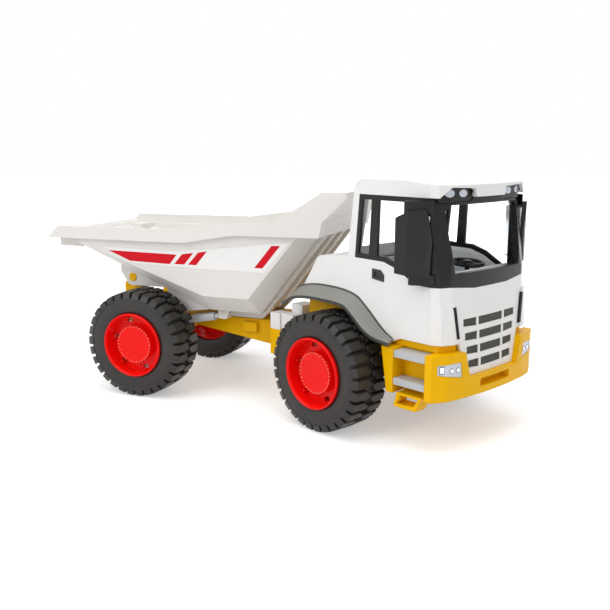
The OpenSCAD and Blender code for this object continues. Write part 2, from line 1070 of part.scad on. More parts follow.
module grille_backing() {
    color(black) on_front() intersection() {
        difference() {
            front_bow(cab_wall + backing_fit);
            front_bow(cab_wall + backing_fit + backing_t);
        }
        union() {
            box([panel_back, vent[1].x - 4, skirt_z + 1], [far, 4 - vent[1].x, raised_top]);
            front_cut(pod_gap(-2, panel_low + 2, skirt_z + 2));
        }
        box(
            [0, -cab_w / 2 + cab_wall + backing_fit, 0],
            [far, cab_w / 2 - cab_wall - backing_fit, far]
        );
    }
}

// Black frame of the windows: pillars, sills and the band under the windscreen
pane_rear = [
    [20.2, sill_z + 4],
    [31.5, sill_z + 3.5],
    [33.5, roof_under - 4],
    [24.2, roof_under - 4]
];
pane_side = [
    [40, sill_z + 3.5],
    [48, sill_z + 3.4],
    [62, sill_z - 1],
    [79, belt_z + 7],
    [84, belt_z + 8],
    [84, roof_under - 4],
    [41, roof_under - 4]
];
screen_top = roof_under - 5.5;
screen = [
    [-43.5, 139],
    [43.5, 139],
    [47, 165],
    [48.5, 186],
    [43, screen_top],
    [-43, screen_top],
    [-48.5, 186],
    [-47, 165]
];

screen_depth = 12;

module window_frame() {
    color(black) on_front() difference() {
        intersection() {
            cab_solid(0);
            slab(frame_side, far);
            screen_bow(0);
        }
        intersection() {
            slab(inset(cab_side, cab_wall), cab_w - 2 * cab_wall);
            screen_bow(pillar_t);
        }
        panel_face();
        slab(pane_rear, far);
        slab(pane_side, far);
        translate([-screen_depth, 0, 0])
            front_cut(screen);
        lamp_pod_space();
    }
}

// Roof lamps: two oval lenses in a black pod at each front corner of the roof
pod_y = [19, 56];
pod_low = 192.5;
pod_high = 203.6;
pod_inset = 4;
lens_t = 2;

module lamp_pod_outline() {
    polygon([
        [-pod_y[1], pod_low + 4],
        [-pod_y[1] + 2, pod_low],
        [-pod_y[0] - 4, pod_low],
        [-pod_y[0], pod_low + 3],
        [-pod_y[0] - 2, pod_high - 1],
        [-pod_y[1] + 9, pod_high]
    ]);
}

module lamp_pod_space() {
    both_sides()
        translate([panel_back - 2, 0, 0])
            rotate([90, 0, 90])
                linear_extrude(height = far)
                    lamp_pod_outline();
}

function oval(c, a, b) = [for (i = [0 : 23]) c + [a * cos(15 * i), b * sin(15 * i)]];
lenses = [[-45, 199.2], [-30.5, 198.9]];
lens_half = [4.6, 2.9];

module lens_shapes() {
    both_sides()
        for (c = lenses)
            front_cut(oval(c, lens_half.x, lens_half.y));
}

module roof_lamp_pods() {
    color(black) on_front() difference() {
        intersection() {
            front_bow(pod_inset);
            slab([[0, 150], [far, 150], [far, roof_z - 0.6], [0, roof_z - 0.6]], cab_w);
            lamp_pod_space();
        }
        difference() {
            lens_shapes();
            front_bow(pod_inset + lens_t);
        }
    }
}

module roof_lamp_lenses() {
    color(light_grey) on_front() intersection() {
        difference() {
            front_bow(pod_inset - 0.2);
            front_bow(pod_inset + lens_t);
        }
        lens_shapes();
    }
}

// Recessed door handles
handle = [[35.5, 130], [48, 128.5], [48, 134], [44.5, 137.5], [35.5, 138]];
handle_depth = 1.6;

module door_handle_space() {
    both_sides()
        side_slab(handle, cab_w / 2 - handle_depth, far);
}

module door_handles() {
    color(dark) on_front() both_sides()
        difference() {
            side_slab(handle, cab_w / 2 - handle_depth, cab_w / 2 + 0.6);
            side_slab(inset(handle, 2.2), cab_w / 2 - 0.6, far);
        }
}

// Inside of the cab: floor, low seats and dashboard in one thin moulding
tray_z = 112;
tray_t = 2.4;
tray_rear = 14;
dash_x = [76, 99];
dash_z = 133;
tub_half = cab_w / 2 - cab_wall - 1;
seat_y = 27;
seat_half = 15;
seat = [
    [20, tray_z],
    [54, tray_z],
    [55, tray_z + 12],
    [52, tray_z + 15],
    [35, tray_z + 13],
    [30, tray_z + 26],
    [25, tray_z + 28],
    [20, tray_z + 26]
];
dash = [
    [dash_x[0], tray_z],
    [dash_x[0] + tray_t, tray_z],
    [dash_x[0] + tray_t, dash_z - 3],
    [dash_x[0] + 9, dash_z + 0.4],
    [dash_x[1], dash_z - 2.4],
    [dash_x[1], dash_z],
    [dash_x[0] + 8, dash_z + 3],
    [dash_x[0], dash_z - 2]
];
trim = [
    [tray_rear, tray_z],
    [dash_x[0] + tray_t, tray_z],
    [dash_x[0] + tray_t, belt_z],
    [60, sill_z - 8],
    [45, sill_z - 4],
    [tray_rear, sill_z - 4]
];

module cab_interior() {
    color(light_grey) on_front() intersection() {
        difference() {
            union() {
                box([tray_rear, -tub_half, tray_z], [dash_x[0] + tray_t, tub_half, tray_z + tray_t]);
                box([tray_rear, -tub_half, tray_z], [tray_rear + tray_t, tub_half, sill_z - 4]);
                slab(dash, 2 * tub_half);
                both_sides() {
                    side_slab(trim, tub_half - tray_t, tub_half);
                    side_slab(seat, seat_y - seat_half, seat_y + seat_half);
                }
            }
            // The seats are hollow, open below
            both_sides() {
                side_slab(inset(seat, tray_t), seat_y - seat_half + tray_t, seat_y + seat_half - tray_t);
                box(
                    [seat[0].x + tray_t, -seat_y - seat_half + tray_t, 0],
                    [seat[1].x - tray_t, -seat_y + seat_half - tray_t, tray_z + tray_t + 1]
                );
            }
        }
        screen_bow(pillar_t + gap);
    }
}

// Steering wheel on the left, on a column from the floor
wheel_hub = [65, 137];
steer_r = 13;
steer_t = 1.8;
steer_tilt = 4;

module steering_wheel() {
    color(black) on_front()
        translate([wheel_hub.x, seat_y, wheel_hub.y]) {
            rotate([0, steer_tilt, 0]) {
                rotate_extrude()
                    translate([steer_r, 0])
                        circle(r = steer_t, $fn = 8);
                for (i = [0 : 2])
                    rotate([0, 0, 120 * i])
                        box([0, -1.6, -1.2], [steer_r, 1.6, 1.2]);
                cylinder(r = 4, h = 4, center = true);
            }
            translate([0, 0, tray_z + tray_t - wheel_hub.y])
                cylinder(r = 2, h = wheel_hub.y - tray_z - tray_t);
        }
}

// Fenders follow the wheel arch and flare outwards and down
fender_root = eased([
    [-58, 101],
    [arch_rear, arch_z],
    [arch_front, arch_z],
    [30, 104],
    [47, 88.5],
    [arch_low, skirt_z - 3.5]
]);
fender_edge = eased([
    [-56, 96.5],
    [-40, arch_z - flare_drop],
    [12, arch_z - flare_drop],
    [20, 103],
    [41, 84.5],
    [53, 80.8]
]);

// The wall of a fender swept along its root and edge lines
module fender() {
    n = len(fender_root);
    root_y = cab_w / 2;
    edge_y = cab_w / 2 + flare;
    rings = [
        for (i = [0 : n - 1])
            let(
                r = fender_root[i],
                e = fender_edge[i],
                a = fender_edge[max(i - 1, 0)],
                b = fender_edge[min(i + 1, n - 1)],
                d = left_of(a, b) * fender_t
            )
            [
                [r.x, -root_y, r.y],
                [e.x, -edge_y, e.y],
                [e.x + d.x, -edge_y, e.y + d.y],
                [r.x + d.x, -root_y, r.y + d.y]
            ]
    ];
    polyhedron(
        points = [for (ring = rings, p = ring) p],
        faces = concat(
            [[0, 1, 2, 3]],
            [
                for (i = [0 : n - 2], k = [0 : 3])
                    let(a = 4 * i + k, b = 4 * i + (k + 1) % 4)
                    [a, a + 4, b + 4, b]
            ],
            [[4 * n - 1, 4 * n - 2, 4 * n - 3, 4 * n - 4]]
        )
    );
}

module fender_right() {
    color(grey) on_front() fender();
}

module fender_left() {
    color(grey) on_front() mirror([0, 1, 0]) fender();
}

// Bumper with lamp pods, step wells and a platform under the cab
step_x = [66, 97];
well_back = 54;
step_depth = 14;
bumper_mid = 115;
bumper_plan = [
    [well_back, -bumper_w / 2],
    [step_x[1] + 7, -bumper_w / 2],
    [bumper_mid - 5, -57],
    [bumper_mid - 2.6, -43],
    [bumper_mid - 0.6, -20],
    [bumper_mid, 0],
    [bumper_mid - 0.6, 20],
    [bumper_mid - 2.6, 43],
    [bumper_mid - 5, 57],
    [step_x[1] + 7, bumper_w / 2],
    [well_back, bumper_w / 2]
];
tread_z = [51, 73];
tread_t = 5.4;
stirrup_z = 33;
tow_back = 106.5;
tow_half = 20;
tow_z = [49.5, 56];

module bumper() {
    color(yellow) on_front() {
        difference() {
            plan(bumper_plan, bumper_z, pod_z);
            // Hollow, open behind
            difference() {
                plan(inset(bumper_plan, bumper_wall), bumper_z + bumper_wall, pod_z - bumper_wall);
                // Ledge under the front panel, and the walls of the tow recess
                front_cut(pod_gap(bumper_wall, panel_low - bumper_wall, pod_z));
                box(
                    [tow_back - bumper_wall, -tow_half - bumper_wall, 0],
                    [far, tow_half + bumper_wall, panel_low]
                );
                // Walls behind the step wells
                both_sides()
                    box(
                        [well_back, -bumper_w / 2, bumper_z],
                        [step_x[1] + bumper_wall, -bumper_w / 2 + step_depth + bumper_wall, pod_z]
                    );
            }
            box([well_back - 1, -front_beam_w / 2 - gap, 0], [97, front_beam_w / 2 + gap, skirt_z]);
            // The front panel shows between the pods
            front_cut(pod_gap(panel_fit, panel_low - panel_fit, pod_z + 1));
            // Step wells
            both_sides()
                box([step_x[0], -far, bumper_z - 1], [step_x[1], -bumper_w / 2 + step_depth, far]);
            // Rear corner cut away for the wheel
            both_sides()
                side_slab([[0, 0], [60, bumper_z - 1], [well_back, pod_z + 1], [0, pod_z + 1]], 20, far);
            // Tow recess
            box([tow_back, -tow_half, tow_z[0]], [far, tow_half, tow_z[1]]);
            headlamp_space();
        }
        // Platform under the cab
        difference() {
            plan(
                [
                    [well_back + 4, -cab_w / 2 + 3],
                    [100, -cab_w / 2 + 3],
                    [104, -42],
                    [104, 42],
                    [100, cab_w / 2 - 3],
                    [well_back + 4, cab_w / 2 - 3]
                ],
                pod_z - eps,
                skirt_z
            );
            box([0, -front_beam_w / 2 - gap, 0], [97, front_beam_w / 2 + gap, skirt_z - platform_t]);
            front_cut(pod_gap(panel_fit, panel_low, skirt_z + 1));
        }
        both_sides() stirrup();
    }
}

// A foot stirrup hangs below each step well
module stirrup() {
    difference() {
        side_slab(
            [
                [step_x[0], stirrup_z],
                [step_x[1] - 9, stirrup_z],
                [step_x[1] - 3, bumper_z + 1],
                [step_x[0] + 3, bumper_z + 1]
            ],
            bumper_w / 2 - step_depth,
            bumper_w / 2 - 2
        );
        side_slab(
            [
                [step_x[0] + 3.4, stirrup_z + 3],
                [step_x[1] - 11.5, stirrup_z + 3],
                [step_x[1] - 7, bumper_z - 1],
                [step_x[0] + 6, bumper_z - 1]
            ],
            0,
            far
        );
    }
}

module step_treads() {
    color(white) on_front() both_sides()
        for (z = tread_z)
            box(
                [step_x[0], -bumper_w / 2 + 0.6, z],
                [step_x[1], -bumper_w / 2 + step_depth, z + tread_t]
            );
}

// Headlamps let into the pods
lamp_front = [[-65, 65.2], [-42, 60.9], [-43.4, 73], [-65, 72.9]];
lamp_depth = 1.2;

module headlamp_space() {
    both_sides()
        difference() {
            front_cut(lamp_front);
            plan(inset(bumper_plan, lamp_depth), 0, far);
        }
}

module headlamps() {
    color(light_grey) on_front() both_sides()
        intersection() {
            front_cut(lamp_front);
            difference() {
                plan(inset(bumper_plan, 0.5), 0, far);
                plan(inset(bumper_plan, lamp_depth), 0, far);
            }
        }
}

// Mirrors: a housing between two arms that reach from the front pillar
mirror_mid = [82.75, 68.5];
mirror_turn = 28;
mirror_z = [137.7, 188];
mirror_t = 5;
mirror_half = 13.9;
mirror_crease = -4.3;
glass_t = 0.8;
arm_half = 3;

module at_mirror() {
    translate([mirror_mid.x, -mirror_mid.y, 0])
        rotate([0, 0, mirror_turn])
            children();
}

module mirror_piece() {
    at_mirror() {
        intersection() {
            plan(
                [
                    [-mirror_half, glass_t],
                    [-mirror_half, -1],
                    [mirror_crease, -mirror_t],
                    [mirror_half - 4, -mirror_t],
                    [mirror_half, -1],
                    [mirror_half, glass_t]
                ],
                mirror_z[0],
                mirror_z[1]
            );
            side_slab(
                [
                    [-mirror_half, mirror_z[0] + 2.3],
                    [mirror_half - 1, mirror_z[0]],
                    [mirror_half, mirror_z[0] + 28],
                    [mirror_half - 4, mirror_z[1]],
                    [mirror_crease, mirror_z[1] - 1.5],
                    [-mirror_half, mirror_z[1] - 6.5]
                ],
                -10,
                10
            );
        }
    }
    arm([78, -70], [90, -cab_w / 2], mirror_z[1] - 3, mirror_z[1] + 6);
    arm([82, -68], [92, -cab_w / 2], mirror_z[0] - 6, mirror_z[0] + 2);
}

// A band with a round end, from the cab's side to a tip above or below the mirror
module arm(tip, root, z0, z1) {
    reach = norm(tip - root);
    d = (tip - root) / reach;
    s = [-d.y, d.x] * arm_half;
    difference() {
        union() {
            plan([root - s - 4 * d, tip - s, tip + s, root + s - 4 * d], z0, z1);
            translate([tip.x, tip.y, z0])
                cylinder(r = arm_half, h = z1 - z0);
        }
        // Its root lies against the window frame's side
        box([0, -cab_w / 2, 0], [far, far, far]);
    }
}

module mirror_right() {
    color(black) on_front() mirror_piece();
}

module mirror_left() {
    color(black) on_front() mirror([0, 1, 0]) mirror_piece();
}

module mirror_glasses() {
    color(light_grey) on_front() both_sides()
        at_mirror()
            box(
                [-mirror_half + 1.2, glass_t, mirror_z[0] + 3],
                [mirror_half - 2.4, 2 * glass_t, mirror_z[1] - 5]
            );
}

rear_frame();
rear_axle();
dump_bed();
ram_barrel();  // ram_barrel_right
ram_rod();  // ram_rod_right
mirror([0, 1, 0]) ram_barrel();  // ram_barrel_left
mirror([0, 1, 0]) ram_rod();  // ram_rod_left
at_wheel(false, false) tyre();  // tyre_rear_right
at_wheel(false, false) rim();  // rim_rear_right
at_wheel(false, false) hub();  // hub_rear_right
at_wheel(false, true) tyre();  // tyre_rear_left
at_wheel(false, true) rim();  // rim_rear_left
at_wheel(false, true) hub();  // hub_rear_left
at_wheel(true, false) tyre();  // tyre_front_right
at_wheel(true, false) rim();  // rim_front_right
at_wheel(true, false) hub();  // hub_front_right
at_wheel(true, true) tyre();  // tyre_front_left
at_wheel(true, true) rim();  // rim_front_left
at_wheel(true, true) hub();  // hub_front_left
front_frame();
pivot_cover();
pivot_pin();
front_axle();
bumper();
step_treads();
headlamps();
cab_shell();
front_panel();
grille_backing();
window_frame();
cab_interior();
steering_wheel();
roof_lamp_pods();
roof_lamp_lenses();
door_handles();
fender_right();
fender_left();
mirror_right();
mirror_left();
mirror_glasses();
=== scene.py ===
"""Looks of the toy articulated dump truck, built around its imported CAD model. Metres, in the row frame."""

import json
import math

import bmesh
import bpy
from mathutils import Matrix, Vector


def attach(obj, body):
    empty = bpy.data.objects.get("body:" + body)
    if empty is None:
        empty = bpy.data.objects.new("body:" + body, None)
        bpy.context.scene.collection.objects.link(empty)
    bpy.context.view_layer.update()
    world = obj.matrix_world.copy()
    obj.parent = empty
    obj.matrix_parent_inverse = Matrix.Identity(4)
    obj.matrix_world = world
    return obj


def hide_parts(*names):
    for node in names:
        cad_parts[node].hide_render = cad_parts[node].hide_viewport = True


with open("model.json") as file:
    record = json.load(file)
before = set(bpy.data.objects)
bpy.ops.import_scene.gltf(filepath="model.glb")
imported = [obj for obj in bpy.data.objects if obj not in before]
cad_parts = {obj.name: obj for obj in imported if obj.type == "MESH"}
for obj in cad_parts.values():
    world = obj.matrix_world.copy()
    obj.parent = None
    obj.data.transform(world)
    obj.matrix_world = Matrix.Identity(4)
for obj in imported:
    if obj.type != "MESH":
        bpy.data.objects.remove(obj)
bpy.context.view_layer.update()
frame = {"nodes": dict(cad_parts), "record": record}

# Sizes of the toy in millimetres

MM = 0.001
TURN = math.radians(24.7)
REAR_REACH = 152
FRONT_REACH = 83.5
WHEEL_R = 50
HALF_TRACK = 73
TYRE_W = 37
RIM_PROUD = 2.5
RIM_FACE = TYRE_W / 2 + RIM_PROUD
SIDES = (("right", -1), ("left", 1))

# Places of the two units in the row frame: x is forward of that unit's axle, y to its left

REAR = Matrix.Translation((-REAR_REACH * MM, 0, 0))
FRONT = Matrix.Rotation(-TURN, 4, "Z") @ Matrix.Translation((FRONT_REACH * MM, 0, 0))

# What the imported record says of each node

slot_of = {s["node"]: s["material_slot"] for s in frame["record"]["subparts"]}
body_of = {n: b for b, members in frame["record"]["behaviour"]["bodies"].items() for n in members}


# Materials

PATCH_SCALE = 34.0
PATCH_FROM, PATCH_TO = 0.3, 0.7
PATCH_LIGHTER = 0.4
SHEEN_SCALE = 160.0
SHEEN_FROM, SHEEN_TO = 0.35, 0.65
GRAIN_DEPTH = 0.4 * MM
CORNER_SAMPLES = 6


def links_of(owner):
    """The nodes and the links of a material or a world."""
    tree = owner.node_tree
    return tree.nodes, tree.links


def add_node(nodes, kind, **sockets):
    """A node with the values of its sockets, whose names have underscores for spaces."""
    node = nodes.new(kind)
    for name, value in sockets.items():
        node.inputs[name.replace("_", " ")].default_value = value
    return node


def ranged(nodes, links, source, **ends):
    """A socket's value, brought from one range to another."""
    node = add_node(nodes, "ShaderNodeMapRange", **ends)
    links.new(source, node.inputs["Value"])
    return node.outputs["Result"]


def moulded(name, colour, rough=0.38, spread=0.04, grain=2600.0, bump=0.05, tone=0.06, gleam=0.3,
            metal=0.0, edge=0.6):
    """Injection-moulded plastic: a fine eroded grain, soft tone patches, uneven gloss and eased edges."""
    material = bpy.data.materials.new(name)
    material.use_nodes = True
    nodes, links = links_of(material)
    shader = nodes["Principled BSDF"]
    shader.inputs["Metallic"].default_value = metal
    shader.inputs["Specular IOR Level"].default_value = gleam
    place = nodes.new("ShaderNodeTexCoord").outputs["Object"]

    def noise(scale, detail, roughness):
        node = add_node(nodes, "ShaderNodeTexNoise", Scale=scale, Detail=detail, Roughness=roughness)
        links.new(place, node.inputs["Vector"])
        return node.outputs["Fac"]

    patches = noise(PATCH_SCALE, detail=3.0, roughness=0.55)
    patches = ranged(nodes, links, patches, From_Min=PATCH_FROM, From_Max=PATCH_TO)
    tint = nodes.new("ShaderNodeMix")
    tint.data_type = "RGBA"
    sockets = {socket.identifier: socket for socket in (*tint.inputs, *tint.outputs)}
    sockets["A_Color"].default_value = (*[c * (1 - tone) for c in colour], 1)
    sockets["B_Color"].default_value = (*[min(1.0, c * (1 + PATCH_LIGHTER * tone)) for c in colour], 1)
    links.new(patches, tint.inputs["Factor"])
    links.new(sockets["Result_Color"], shader.inputs["Base Color"])

    gloss = noise(SHEEN_SCALE, detail=4.0, roughness=0.6)
    gloss = ranged(nodes, links, gloss, From_Min=SHEEN_FROM, From_Max=SHEEN_TO,
                   To_Min=rough - spread, To_Max=rough + spread)
    links.new(gloss, shader.inputs["Roughness"])

    corner = add_node(nodes, "ShaderNodeBevel", Radius=edge * MM)
    corner.samples = CORNER_SAMPLES
    relief = add_node(nodes, "ShaderNodeBump", Strength=bump, Distance=GRAIN_DEPTH)
    links.new(corner.outputs["Normal"], relief.inputs["Normal"])
    links.new(noise(grain, detail=2.0, roughness=0.5), relief.inputs["Height"])
    links.new(relief.outputs["Normal"], shader.inputs["Normal"])
    return material


FINISHES = {
    "bed_white": moulded("warm_white_bed", (0.78, 0.757, 0.728), rough=0.36, tone=0.025, gleam=0.2),
    "white_plastic": moulded("white_cab", (0.84, 0.835, 0.825), rough=0.33, tone=0.02, gleam=0.15),
    "yellow_plastic": moulded("yellow_chassis", (0.88, 0.475, 0.0003), rough=0.34, tone=0.04,
                              gleam=0.1, edge=1.0),
    "red_plastic": moulded("red_wheels", (0.88, 0.004, 0.002), rough=0.3, tone=0.05, gleam=0.16),
    "tyre": moulded("tyre_compound", (0.027, 0.0252, 0.023), rough=0.4, spread=0.08, grain=1800.0,
                    bump=0.12, tone=0.3, gleam=0.34, edge=0.8),
    "black_plastic": moulded("black_trim", (0.006, 0.006, 0.0058), rough=0.3, spread=0.06,
                             bump=0.1, tone=0.2, gleam=0.26, edge=1.3),
    "grey_plastic": moulded("grey_fenders", (0.24, 0.24, 0.218), rough=0.36, tone=0.06, bump=0.08),
    "dark_plastic": moulded("dark_grey_handles", (0.028, 0.028, 0.028), rough=0.4, tone=0.1, bump=0.08),
    "light_grey_plastic": moulded("light_grey_moulding", (0.66, 0.695, 0.715), rough=0.42, tone=0.04),
    "lamp_foil": moulded("lamp_foil", (0.52, 0.56, 0.62), rough=0.22, tone=0.12, metal=0.35),
    "mirror_foil": moulded("mirror_foil", (0.6, 0.64, 0.68), rough=0.08, tone=0.03, metal=0.9),
    "steel": moulded("steel_rod", (0.45, 0.45, 0.46), rough=0.3, tone=0.1, metal=1.0),
}
STRIPE_RED = moulded("red_stripe_foil", (0.65, 0.003, 0.012), rough=0.32, tone=0.03, bump=0.02, gleam=0.14)
SHEET_WHITE = moulded("white_stripe_sheet", (0.86, 0.852, 0.84), rough=0.3, tone=0.004, bump=0.02)
# The beads' red, painted paler and brighter than the hub's red as a painted highlight on their glossy tops
BEAD_RED_HIGHLIGHT = moulded("red_beads_painted_highlight", (1.0, 0.17, 0.12), rough=0.2, tone=0.05, bump=0.0, gleam=0.6)
# Dark strips on the fenders: painted shade on the outer flange, and a thin dark strip along the seam beside
# the cab
FENDER_LIP_SHADE = moulded("fender_lip_shade", (0.05, 0.05, 0.048), rough=0.38, tone=0.1, bump=0.08)
CHROME = moulded("lamp_reflector", (0.72, 0.76, 0.82), rough=0.12, spread=0.03, tone=0.05, metal=0.8)
GRILLE_DARK = moulded("grille_black", (0.05, 0.05, 0.042), rough=0.42, tone=0.1, bump=0.06, gleam=0.15)
VENT_DARK = moulded("vent_black", (0.006, 0.006, 0.006), rough=0.5, tone=0.1, gleam=0.15)
STEP_GREY = moulded("grey_steps", (0.5, 0.515, 0.53), rough=0.42, tone=0.04)
LAMP_LINE = moulded("lamp_outline", (0.13, 0.14, 0.16), rough=0.35, tone=0.1)

for node, obj in frame["nodes"].items():
    obj.data.materials.clear()
    obj.data.materials.append(FINISHES[slot_of[node]])


# Pieces and their meshes

def new_piece(name, mesh, body, slot, *nodes, finish=None):
    """A finished mesh in the row frame becomes a piece that rides on a body."""
    piece = bpy.data.objects.new(name, mesh)
    bpy.context.scene.collection.objects.link(piece)
    mesh.materials.clear()
    mesh.materials.append(finish or FINISHES[slot])
    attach(piece, body)
    if nodes:
        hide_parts(*nodes)


def mesh_from(work, name):
    """The mesh of some finished bmesh work."""
    mesh = bpy.data.meshes.new(name)
    work.to_mesh(mesh)
    work.free()
    return mesh


def holder_of(mesh):
    """An object that carries a mesh while modifiers work on it."""
    holder = bpy.data.objects.new("holder", mesh)
    bpy.context.scene.collection.objects.link(holder)
    return holder


def baked(holder, name):
    """The mesh that a holder's modifiers give. The holder goes."""
    bpy.context.view_layer.update()
    graph = bpy.context.evaluated_depsgraph_get()
    mesh = bpy.data.meshes.new_from_object(holder.evaluated_get(graph))
    mesh.name = name
    bpy.data.objects.remove(holder)
    return mesh


def shade_by_angle(mesh, degrees):
    mesh.polygons.foreach_set("use_smooth", [True] * len(mesh.polygons))
    mesh.set_sharp_from_angle(angle=math.radians(degrees))


def joined(name, *parts):
    """One mesh from several, each moved by its matrix."""
    work = bmesh.new()
    for mesh, place in parts:
        copy = mesh.copy()
        copy.transform(place)
        work.from_mesh(copy)
        bpy.data.meshes.remove(copy)
    return mesh_from(work, name)


def layered(layers):
    """A solid through outlines of the same length in millimetres, with a face at each end."""
    work = bmesh.new()
    rings = [[work.verts.new(Vector(p) * MM) for p in layer] for layer in layers]
    count = len(rings[0])
    for low, high in zip(rings, rings[1:]):
        for i in range(count):
            j = (i + 1) % count
            work.faces.new((low[i], low[j], high[j], high[i]))
    work.faces.new(list(reversed(rings[0])))
    work.faces.new(rings[-1])
    bmesh.ops.recalc_face_normals(work, faces=work.faces)
    return mesh_from(work, "layered")


def on_side(sign, layers):
    """A layered solid whose points are given for the left, on either side."""
    return layered([[(x, sign * y, z) for x, y, z in layer] for layer in layers])


def spun(profile, steps):
    """A closed profile of (radius, along the axle) in millimetres, turned about the Y axis."""
    work = bmesh.new()
    rings = []
    for k in range(steps):
        a = 2 * math.pi * k / steps
        rings.append([
            work.verts.new((r * math.sin(a) * MM, y * MM, r * math.cos(a) * MM)) for r, y in profile
        ])
    for k in range(steps):
        near, far = rings[k], rings[(k + 1) % steps]
        for i in range(len(profile)):
            j = (i + 1) % len(profile)
            work.faces.new((near[i], near[j], far[j], far[i]))
    bmesh.ops.recalc_face_normals(work, faces=work.faces)
    return mesh_from(work, "spun")


# Mouldings with rounded edges

SAME_POINT = 2e-6
ROUND_STEPS = 2
ROUND_FROM = 8.0
CREASE_FROM = 15.0
FLAT_WEIGHT = 60
SOFT_EDGES = {
    "dump_bed": 0.5, "rear_frame": 0.6, "front_frame": 0.6, "bumper": 0.9, "cab_shell": 0.8,
    "front_panel": 0.5, "window_frame": 0.4, "cab_interior": 0.6, "pivot_cover": 0.8, "step_treads": 0.6,
    "mirror_right": 0.7, "mirror_left": 0.7, "door_handles": 0.3, "roof_lamp_pods": 0.3,
}
OWN_FINISH = {"step_treads": STEP_GREY}


def softened(node, radius):
    """A copy of a CAD node with the rounded edges of a moulding, and flat between them."""
    work = bmesh.new()
    work.from_mesh(frame["nodes"][node].data)
    bmesh.ops.remove_doubles(work, verts=work.verts, dist=SAME_POINT)
    holder = holder_of(mesh_from(work, node + "_soft"))
    bevel = holder.modifiers.new("edges", "BEVEL")
    bevel.width = radius * MM
    bevel.segments = ROUND_STEPS
    bevel.limit_method = "ANGLE"
    bevel.angle_limit = math.radians(ROUND_FROM)
    bevel.use_clamp_overlap = True
    bevel.harden_normals = False
    bevel.miter_outer = "MITER_ARC"
    rounded = baked(holder, node + "_rounded")
    shade_by_angle(rounded, CREASE_FROM)
    holder = holder_of(rounded)
    flats = holder.modifiers.new("flats", "WEIGHTED_NORMAL")
    flats.mode = "FACE_AREA"
    flats.weight = FLAT_WEIGHT
    flats.keep_sharp = True
    finished = baked(holder, node + "_moulding")
    new_piece(node + "_moulding", finished, body_of[node], slot_of[node], node, finish=OWN_FINISH.get(node))


# Pieces that repeat round a wheel

def ring_group():
    """Geometry Nodes: copies of one piece, evenly spaced about the Y axis."""
    group = bpy.data.node_groups.new("ring_of_pieces", "GeometryNodeTree")
    sockets = group.interface
    sockets.new_socket("Piece", in_out="INPUT", socket_type="NodeSocketGeometry")
    sockets.new_socket("Count", in_out="INPUT", socket_type="NodeSocketInt")
    sockets.new_socket("Shift", in_out="INPUT", socket_type="NodeSocketFloat")
    sockets.new_socket("Finish", in_out="INPUT", socket_type="NodeSocketMaterial")
    sockets.new_socket("Ring", in_out="OUTPUT", socket_type="NodeSocketGeometry")
    nodes, links = group.nodes, group.links
    given = nodes.new("NodeGroupInput")
    result = nodes.new("NodeGroupOutput")

    def math_node(operation):
        node = nodes.new("ShaderNodeMath")
        node.operation = operation
        return node

    points = nodes.new("GeometryNodePoints")
    links.new(given.outputs["Count"], points.inputs["Count"])
    index = nodes.new("GeometryNodeInputIndex")
    step = math_node("DIVIDE")
    step.inputs[0].default_value = 2 * math.pi
    links.new(given.outputs["Count"], step.inputs[1])
    place = math_node("ADD")
    links.new(index.outputs["Index"], place.inputs[0])
    links.new(given.outputs["Shift"], place.inputs[1])
    angle = math_node("MULTIPLY")
    links.new(place.outputs[0], angle.inputs[0])
    links.new(step.outputs[0], angle.inputs[1])
    turn = nodes.new("ShaderNodeCombineXYZ")
    links.new(angle.outputs[0], turn.inputs["Y"])
    copies = nodes.new("GeometryNodeInstanceOnPoints")
    links.new(points.outputs[0], copies.inputs["Points"])
    links.new(given.outputs["Piece"], copies.inputs["Instance"])
    links.new(turn.outputs["Vector"], copies.inputs["Rotation"])
    real = nodes.new("GeometryNodeRealizeInstances")
    links.new(copies.outputs["Instances"], real.inputs["Geometry"])
    finish = nodes.new("GeometryNodeSetMaterial")
    links.new(real.outputs["Geometry"], finish.inputs["Geometry"])
    links.new(given.outputs["Finish"], finish.inputs["Material"])
    links.new(finish.outputs["Geometry"], result.inputs["Ring"])
    return group


RING = ring_group()


def ring_of(mesh, count, shift, finish):
    """The mesh of a ring of copies of a piece, shifted by a share of one step."""
    holder = holder_of(mesh)
    modifier = holder.modifiers.new("ring", "NODES")
    modifier.node_group = RING
    settings = {"Count": count, "Shift": shift, "Finish": finish}
    for item in RING.interface.items_tree:
        if item.in_out == "INPUT" and item.name in settings:
            modifier[item.identifier] = settings[item.name]
    return baked(holder, "ring")


def wheel_places():
    """The name of each wheel and its place, with its outer face along -Y before it is placed."""
    for end, unit in (("rear", REAR), ("front", FRONT)):
        for side, sign in SIDES:
            place = unit @ Matrix.Translation((0, sign * HALF_TRACK * MM, WHEEL_R * MM))
            if sign > 0:
                place = place @ Matrix.Rotation(math.pi, 4, "Z")
            yield f"{end}_{side}", place


# Tyres: half of the section as (radius, along the axle), and the plan of a lug as (round the wheel, along it)

TYRE_STEPS = 96
TYRE_HALF = [
    (29.15, 12.0), (29.3, 17.2), (30.4, 18.0), (31.8, 18.4), (34.0, 18.7), (39.0, 18.9), (41.6, 18.7),
    (42.4, 18.4), (42.9, 18.7), (43.6, 18.7), (44.0, 18.1), (44.5, 16.9), (45.3, 14.6), (45.9, 12.0),
    (46.0, 0.0),
]
TYRE_CREASE = 30.0
LUGS = 30
STAGGER = 0.5
LUG_END = 17.2
LUG_PLAN = [
    (-3.6, LUG_END), (3.6, LUG_END), (3.8, 10.2), (3.7, 4.9),
    (0.9, 3.5), (0.7, 0.9), (-3.4, 0.9), (-3.7, 5.5),
]
LUG_MIDDLE = 8
LUG_TAPER = 0.92
LUG_END_EASE = 0.35
LUG_INNER_EASE = 0.3
CROWN_DROP = 0.5
CREST_EASE = 0.5
SHOULDER_FROM = 12
SHOULDER_SPREAD = 1.9
SHOULDER_FOOT_R = 43.6
FOOT_R = 45.4


